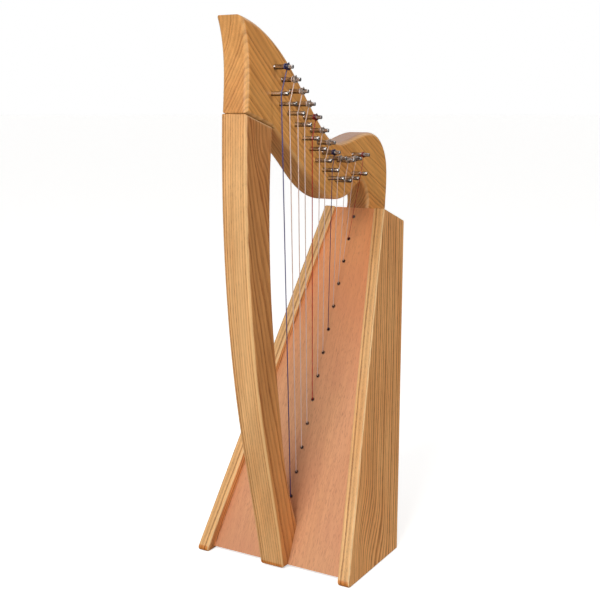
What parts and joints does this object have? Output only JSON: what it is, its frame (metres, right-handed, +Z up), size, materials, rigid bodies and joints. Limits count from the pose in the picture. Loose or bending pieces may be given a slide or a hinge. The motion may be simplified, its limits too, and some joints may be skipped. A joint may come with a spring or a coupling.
{
  "type": "small lap harp",
  "caption": "Small Celtic style lap harp: tapered wooden soundbox, curved pillar and neck, strings on bridge pins and turning tuning pins.",
  "frame": {"origin": "middle of the base of the bounding box, on the floor, in the middle plane between the side panels", "axes": "+Z up, +X towards the player (the soundbox side), -X the pillar side, -Y the side with the pins and strings"},
  "size_m": [0.3257, 0.1972, 0.5898],
  "materials": {
    "ash": "satin oiled ash, honey coloured",
    "soundboard": "satin, fine grained pinkish brown",
    "inner_wood": "bare planed wood",
    "dowel_wood": "bare beech dowel",
    "screw_steel": "zinc plated",
    "pin_nickel": "nickel plated, polished",
    "tuner_steel": "nickel plated, slightly dark",
    "string_natural": "clear natural nylon",
    "string_blue": "dark blue nylon",
    "string_red": "red nylon"
  },
  "bodies": {
    "frame": {"side_panel_left": "ash", "side_panel_right": "ash", "soundboard": "soundboard", "back_panel": "soundboard", "base_board": "inner_wood", "top_block": "inner_wood", "string_rib": "inner_wood", "lining_left": "inner_wood", "lining_right": "inner_wood", "pillar": "ash", "neck": "ash", "neck_dowels": "dowel_wood", "neck_screws": "screw_steel", "pillar_screws": "screw_steel", "bridge_pins": "pin_nickel", "string_beads": "string_natural", "string_01": "string_blue", "string_02": "string_natural", "string_03": "string_natural", "string_04": "string_natural", "string_05": "string_red", "string_06": "string_natural", "string_07": "string_natural", "string_08": "string_blue", "string_09": "string_natural", "string_10": "string_natural", "string_11": "string_natural", "string_12": "string_red"},
    "tuner_01": {"tuning_pin_01": "tuner_steel", "string_winding_01": "string_blue"},
    "tuner_02": {"tuning_pin_02": "tuner_steel", "string_winding_02": "string_natural"},
    "tuner_03": {"tuning_pin_03": "tuner_steel", "string_winding_03": "string_natural"},
    "tuner_04": {"tuning_pin_04": "tuner_steel", "string_winding_04": "string_natural"},
    "tuner_05": {"tuning_pin_05": "tuner_steel", "string_winding_05": "string_red"},
    "tuner_06": {"tuning_pin_06": "tuner_steel", "string_winding_06": "string_natural"},
    "tuner_07": {"tuning_pin_07": "tuner_steel", "string_winding_07": "string_natural"},
    "tuner_08": {"tuning_pin_08": "tuner_steel", "string_winding_08": "string_blue"},
    "tuner_09": {"tuning_pin_09": "tuner_steel", "string_winding_09": "string_natural"},
    "tuner_10": {"tuning_pin_10": "tuner_steel", "string_winding_10": "string_natural"},
    "tuner_11": {"tuning_pin_11": "tuner_steel", "string_winding_11": "string_natural"},
    "tuner_12": {"tuning_pin_12": "tuner_steel", "string_winding_12": "string_red"}
  },
  "joints": [
    {"name": "tuning_pin_01_turn", "type": "hinge", "parent": "frame", "child": "tuner_01", "pos_m": [-0.1027, -0.015, 0.543], "axis": [0, -1, 0], "range_deg": [-390, 195]},
    {"name": "tuning_pin_02_turn", "type": "hinge", "parent": "frame", "child": "tuner_02", "pos_m": [-0.0881, -0.015, 0.531], "axis": [0, -1, 0], "range_deg": [-360, 180]},
    {"name": "tuning_pin_03_turn", "type": "hinge", "parent": "frame", "child": "tuner_03", "pos_m": [-0.0724, -0.015, 0.5196], "axis": [0, -1, 0], "range_deg": [-330, 165]},
    {"name": "tuning_pin_04_turn", "type": "hinge", "parent": "frame", "child": "tuner_04", "pos_m": [-0.0584, -0.015, 0.5068], "axis": [0, -1, 0], "range_deg": [-300, 150]},
    {"name": "tuning_pin_05_turn", "type": "hinge", "parent": "frame", "child": "tuner_05", "pos_m": [-0.0443, -0.015, 0.4932], "axis": [0, -1, 0], "range_deg": [-270, 135]},
    {"name": "tuning_pin_06_turn", "type": "hinge", "parent": "frame", "child": "tuner_06", "pos_m": [-0.0291, -0.015, 0.4792], "axis": [0, -1, 0], "range_deg": [-240, 120]},
    {"name": "tuning_pin_07_turn", "type": "hinge", "parent": "frame", "child": "tuner_07", "pos_m": [-0.0142, -0.015, 0.466], "axis": [0, -1, 0], "range_deg": [-210, 105]},
    {"name": "tuning_pin_08_turn", "type": "hinge", "parent": "frame", "child": "tuner_08", "pos_m": [-0.0027, -0.015, 0.455], "axis": [0, -1, 0], "range_deg": [-180, 90]},
    {"name": "tuning_pin_09_turn", "type": "hinge", "parent": "frame", "child": "tuner_09", "pos_m": [0.0122, -0.015, 0.448], "axis": [0, -1, 0], "range_deg": [-165, 75]},
    {"name": "tuning_pin_10_turn", "type": "hinge", "parent": "frame", "child": "tuner_10", "pos_m": [0.0307, -0.015, 0.445], "axis": [0, -1, 0], "range_deg": [-135, 75]},
    {"name": "tuning_pin_11_turn", "type": "hinge", "parent": "frame", "child": "tuner_11", "pos_m": [0.0489, -0.015, 0.4462], "axis": [0, -1, 0], "range_deg": [-120, 60]},
    {"name": "tuning_pin_12_turn", "type": "hinge", "parent": "frame", "child": "tuner_12", "pos_m": [0.0683, -0.015, 0.4496], "axis": [0, -1, 0], "range_deg": [-105, 45]}
  ]
}
